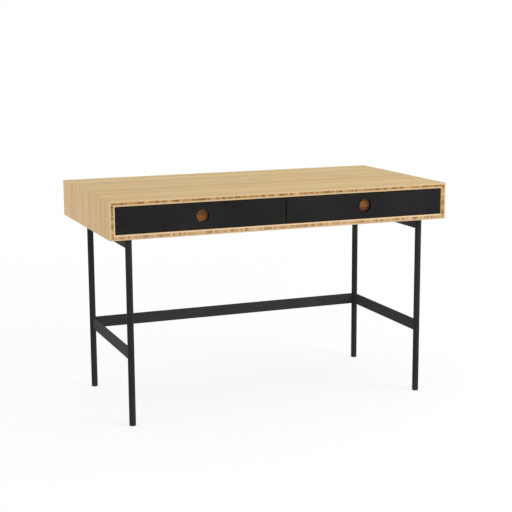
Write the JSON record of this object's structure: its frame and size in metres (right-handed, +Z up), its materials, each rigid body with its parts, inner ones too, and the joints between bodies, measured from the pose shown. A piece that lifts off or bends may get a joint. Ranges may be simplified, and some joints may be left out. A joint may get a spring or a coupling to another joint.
{
  "type": "writing desk with drawers",
  "caption": "Bamboo writing desk: a shallow mitred case with inset black drawers that run out on ball slides, on a slim black steel base of round legs and flat bar stretchers.",
  "frame": {"origin": "on the floor, under the middle of the desk's footprint", "axes": "+X along the desk to a seated user's right, +Y from the front to the back, +Z up"},
  "size_m": [1.219, 0.635, 0.762],
  "materials": {
    "bamboo": "clear satin lacquer over pale bamboo strips",
    "spline_wood": "bare bamboo",
    "black_steel": "fine-textured matt black powder coat",
    "black_nylon": "moulded black nylon",
    "black_bolt": "black oxide",
    "brass": "turned brass",
    "black_front": "matt black lacquer",
    "drawer_ply": "clear lacquered thin ply",
    "amber_wood": "oiled amber-brown wood",
    "zinc_steel": "bright zinc-plated sheet steel",
    "cage_steel": "plain pressed steel",
    "ball_steel": "polished ball steel",
    "screw_zinc": "zinc-plated"
  },
  "bodies": {
    "desk": {"back_left_foot_glide": "black_nylon", "back_left_leg": "black_steel", "back_panel": "bamboo", "back_right_foot_glide": "black_nylon", "back_right_leg": "black_steel", "bottom_panel": "bamboo", "case_slide_screws": "screw_zinc", "centre_divider": "bamboo", "corner_splines": "spline_wood", "frame_bolts": "black_bolt", "front_left_foot_glide": "black_nylon", "front_left_leg": "black_steel", "front_right_foot_glide": "black_nylon", "front_right_leg": "black_steel", "left_drawer_left_slide_outer": "zinc_steel", "left_drawer_right_slide_outer": "zinc_steel", "left_side_panel": "bamboo", "left_side_stretcher": "black_steel", "left_top_rail": "black_steel", "mounting_tabs": "black_steel", "rear_stretcher": "black_steel", "right_drawer_left_slide_outer": "zinc_steel", "right_drawer_right_slide_outer": "zinc_steel", "right_side_panel": "bamboo", "right_side_stretcher": "black_steel", "right_top_rail": "black_steel", "threaded_inserts": "brass", "top_panel": "bamboo"},
    "left_drawer": {"left_drawer_front": "black_front", "left_drawer_front_screws": "screw_zinc", "left_drawer_box_front": "amber_wood", "left_drawer_box_back": "amber_wood", "left_drawer_box_left_side": "amber_wood", "left_drawer_box_right_side": "amber_wood", "left_drawer_bottom": "drawer_ply", "left_drawer_slide_screws": "screw_zinc", "left_drawer_left_slide_inner": "zinc_steel", "left_drawer_right_slide_inner": "zinc_steel"},
    "left_slide_middles": {"left_drawer_left_slide_middle": "zinc_steel", "left_drawer_right_slide_middle": "zinc_steel"},
    "left_outer_cages": {"left_drawer_outer_ball_cages": "cage_steel", "left_drawer_outer_balls": "ball_steel"},
    "left_inner_cages": {"left_drawer_inner_ball_cages": "cage_steel", "left_drawer_inner_balls": "ball_steel"},
    "right_drawer": {"right_drawer_front": "black_front", "right_drawer_front_screws": "screw_zinc", "right_drawer_box_front": "amber_wood", "right_drawer_box_back": "amber_wood", "right_drawer_box_left_side": "amber_wood", "right_drawer_box_right_side": "amber_wood", "right_drawer_bottom": "drawer_ply", "right_drawer_slide_screws": "screw_zinc", "right_drawer_left_slide_inner": "zinc_steel", "right_drawer_right_slide_inner": "zinc_steel"},
    "right_slide_middles": {"right_drawer_left_slide_middle": "zinc_steel", "right_drawer_right_slide_middle": "zinc_steel"},
    "right_outer_cages": {"right_drawer_outer_ball_cages": "cage_steel", "right_drawer_outer_balls": "ball_steel"},
    "right_inner_cages": {"right_drawer_inner_ball_cages": "cage_steel", "right_drawer_inner_balls": "ball_steel"}
  },
  "joints": [
    {"name": "left_drawer_slide", "type": "slide", "parent": "desk", "child": "left_drawer", "axis": [0, -1, 0], "range_m": [0, 0.45]},
    {"name": "left_slide_middles_slide", "type": "slide", "parent": "desk", "child": "left_slide_middles", "axis": [0, -1, 0], "range_m": [0, 0.225]},
    {"name": "left_outer_cages_slide", "type": "slide", "parent": "desk", "child": "left_outer_cages", "axis": [0, -1, 0], "range_m": [0, 0.1125]},
    {"name": "left_inner_cages_slide", "type": "slide", "parent": "desk", "child": "left_inner_cages", "axis": [0, -1, 0], "range_m": [0, 0.3375]},
    {"name": "right_drawer_slide", "type": "slide", "parent": "desk", "child": "right_drawer", "axis": [0, -1, 0], "range_m": [0, 0.45]},
    {"name": "right_slide_middles_slide", "type": "slide", "parent": "desk", "child": "right_slide_middles", "axis": [0, -1, 0], "range_m": [0, 0.225]},
    {"name": "right_outer_cages_slide", "type": "slide", "parent": "desk", "child": "right_outer_cages", "axis": [0, -1, 0], "range_m": [0, 0.1125]},
    {"name": "right_inner_cages_slide", "type": "slide", "parent": "desk", "child": "right_inner_cages", "axis": [0, -1, 0], "range_m": [0, 0.3375]}
  ],
  "couplings": [
    {"joint": "left_slide_middles_slide", "follows": "left_drawer_slide", "ratio": 0.5},
    {"joint": "left_outer_cages_slide", "follows": "left_drawer_slide", "ratio": 0.25},
    {"joint": "left_inner_cages_slide", "follows": "left_drawer_slide", "ratio": 0.75},
    {"joint": "right_slide_middles_slide", "follows": "right_drawer_slide", "ratio": 0.5},
    {"joint": "right_outer_cages_slide", "follows": "right_drawer_slide", "ratio": 0.25},
    {"joint": "right_inner_cages_slide", "follows": "right_drawer_slide", "ratio": 0.75}
  ]
}
